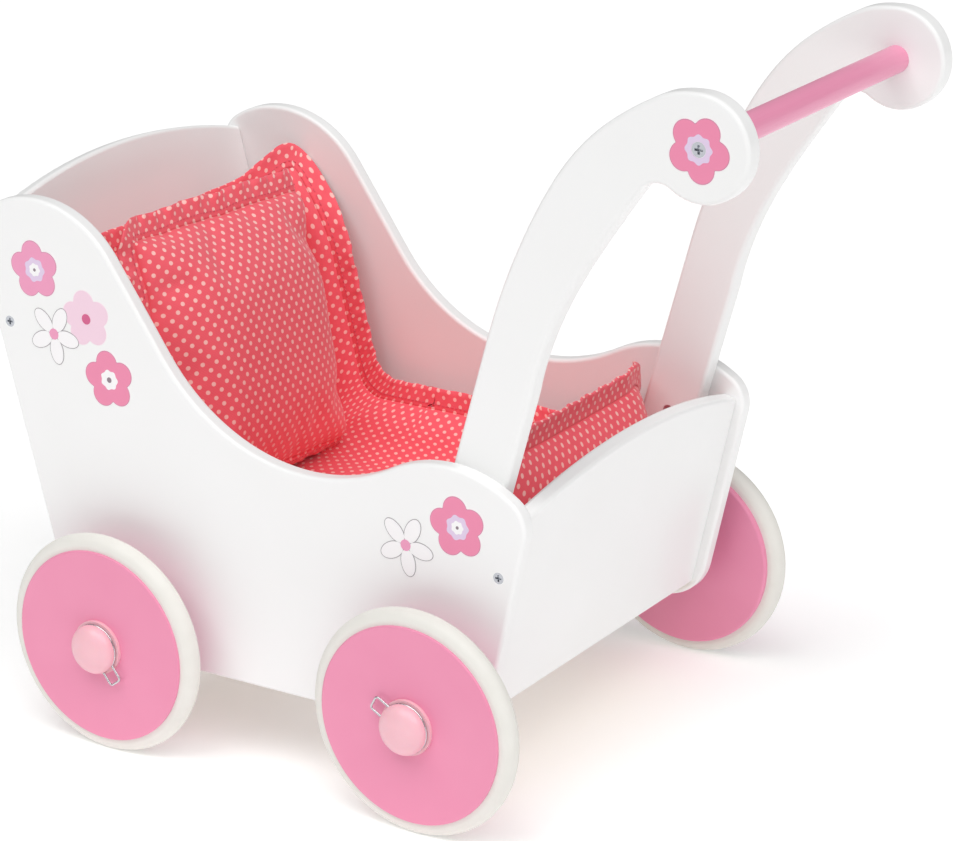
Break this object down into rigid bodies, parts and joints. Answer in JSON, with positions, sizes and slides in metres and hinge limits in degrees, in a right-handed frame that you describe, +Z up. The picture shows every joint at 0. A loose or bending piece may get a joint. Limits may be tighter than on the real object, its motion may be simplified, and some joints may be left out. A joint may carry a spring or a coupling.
{
  "type": "doll stroller",
  "caption": "Painted wooden doll's stroller: deep tub with swooping sides, curved arms and a handle bar, four rolling tyred wheels, lift-out dotted mattress and pillow.",
  "frame": {"origin": "under the middle of the whole stroller's bounding box, on the floor", "axes": "+X towards the handle, where the pusher stands; +Y to the pusher's right; +Z up"},
  "size_m": [0.5226, 0.351, 0.445],
  "materials": {
    "white_paint": "satin white lacquer on board",
    "pink_paint": "satin pink lacquer on turned wood",
    "bare_wood": "planed pine, unpainted",
    "tyre_rubber": "warm off-white moulded rubber",
    "cap_plastic": "pale pink moulded plastic",
    "nylon": "natural nylon",
    "bright_steel": "bright drawn steel",
    "zinc_steel": "zinc-plated",
    "sticker_vinyl": "satin vinyl in pinks and white",
    "dotted_cotton": "red cotton with small pale dots, stuffed"
  },
  "bodies": {
    "chassis": {"side_panel_left": "white_paint", "side_panel_right": "white_paint", "head_panel": "white_paint", "foot_panel": "white_paint", "floor_board": "white_paint", "axle_beam_front": "bare_wood", "axle_beam_rear": "bare_wood", "floor_batten_left": "bare_wood", "floor_batten_right": "bare_wood", "handle_arm_left": "white_paint", "handle_arm_right": "white_paint", "handle_bar": "pink_paint", "head_panel_screws": "zinc_steel", "foot_panel_screws": "zinc_steel", "axle_beam_screws": "zinc_steel", "handle_bar_screws": "zinc_steel", "arm_screws": "zinc_steel", "batten_screws": "zinc_steel", "floor_screws": "zinc_steel", "axle_front": "bright_steel", "axle_rear": "bright_steel", "axle_spacers": "nylon", "flower_stickers_left": "sticker_vinyl", "flower_stickers_right": "sticker_vinyl", "arm_sticker_left": "sticker_vinyl", "arm_sticker_right": "sticker_vinyl"},
    "wheel_front_left": {"wheel_disc_front_left": "pink_paint", "tyre_front_left": "tyre_rubber", "wheel_bush_front_left": "nylon", "hub_cap_front_left": "cap_plastic", "hub_clip_front_left": "bright_steel"},
    "wheel_rear_left": {"wheel_disc_rear_left": "pink_paint", "tyre_rear_left": "tyre_rubber", "wheel_bush_rear_left": "nylon", "hub_cap_rear_left": "cap_plastic", "hub_clip_rear_left": "bright_steel"},
    "wheel_front_right": {"wheel_disc_front_right": "pink_paint", "tyre_front_right": "tyre_rubber", "wheel_bush_front_right": "nylon", "hub_cap_front_right": "cap_plastic", "hub_clip_front_right": "bright_steel"},
    "wheel_rear_right": {"wheel_disc_rear_right": "pink_paint", "tyre_rear_right": "tyre_rubber", "wheel_bush_rear_right": "nylon", "hub_cap_rear_right": "cap_plastic", "hub_clip_rear_right": "bright_steel"},
    "mattress": {"mattress": "dotted_cotton"},
    "pillow": {"pillow": "dotted_cotton"}
  },
  "joints": [
    {"name": "wheel_spin_front_left", "type": "hinge", "parent": "chassis", "child": "wheel_front_left", "pos_m": [-0.1549, 0, 0.0685], "axis": [0, 1, 0], "continuous": true},
    {"name": "wheel_spin_rear_left", "type": "hinge", "parent": "chassis", "child": "wheel_rear_left", "pos_m": [0.0685, 0, 0.0685], "axis": [0, 1, 0], "continuous": true},
    {"name": "wheel_spin_front_right", "type": "hinge", "parent": "chassis", "child": "wheel_front_right", "pos_m": [-0.1549, 0, 0.0685], "axis": [0, 1, 0], "continuous": true},
    {"name": "wheel_spin_rear_right", "type": "hinge", "parent": "chassis", "child": "wheel_rear_right", "pos_m": [0.0685, 0, 0.0685], "axis": [0, 1, 0], "continuous": true},
    {"name": "mattress_lift", "type": "slide", "parent": "chassis", "child": "mattress", "axis": [0, 0, 1], "range_m": [0, 0.2]},
    {"name": "pillow_lift", "type": "slide", "parent": "mattress", "child": "pillow", "axis": [0, 0, 1], "range_m": [0, 0.15]}
  ]
}
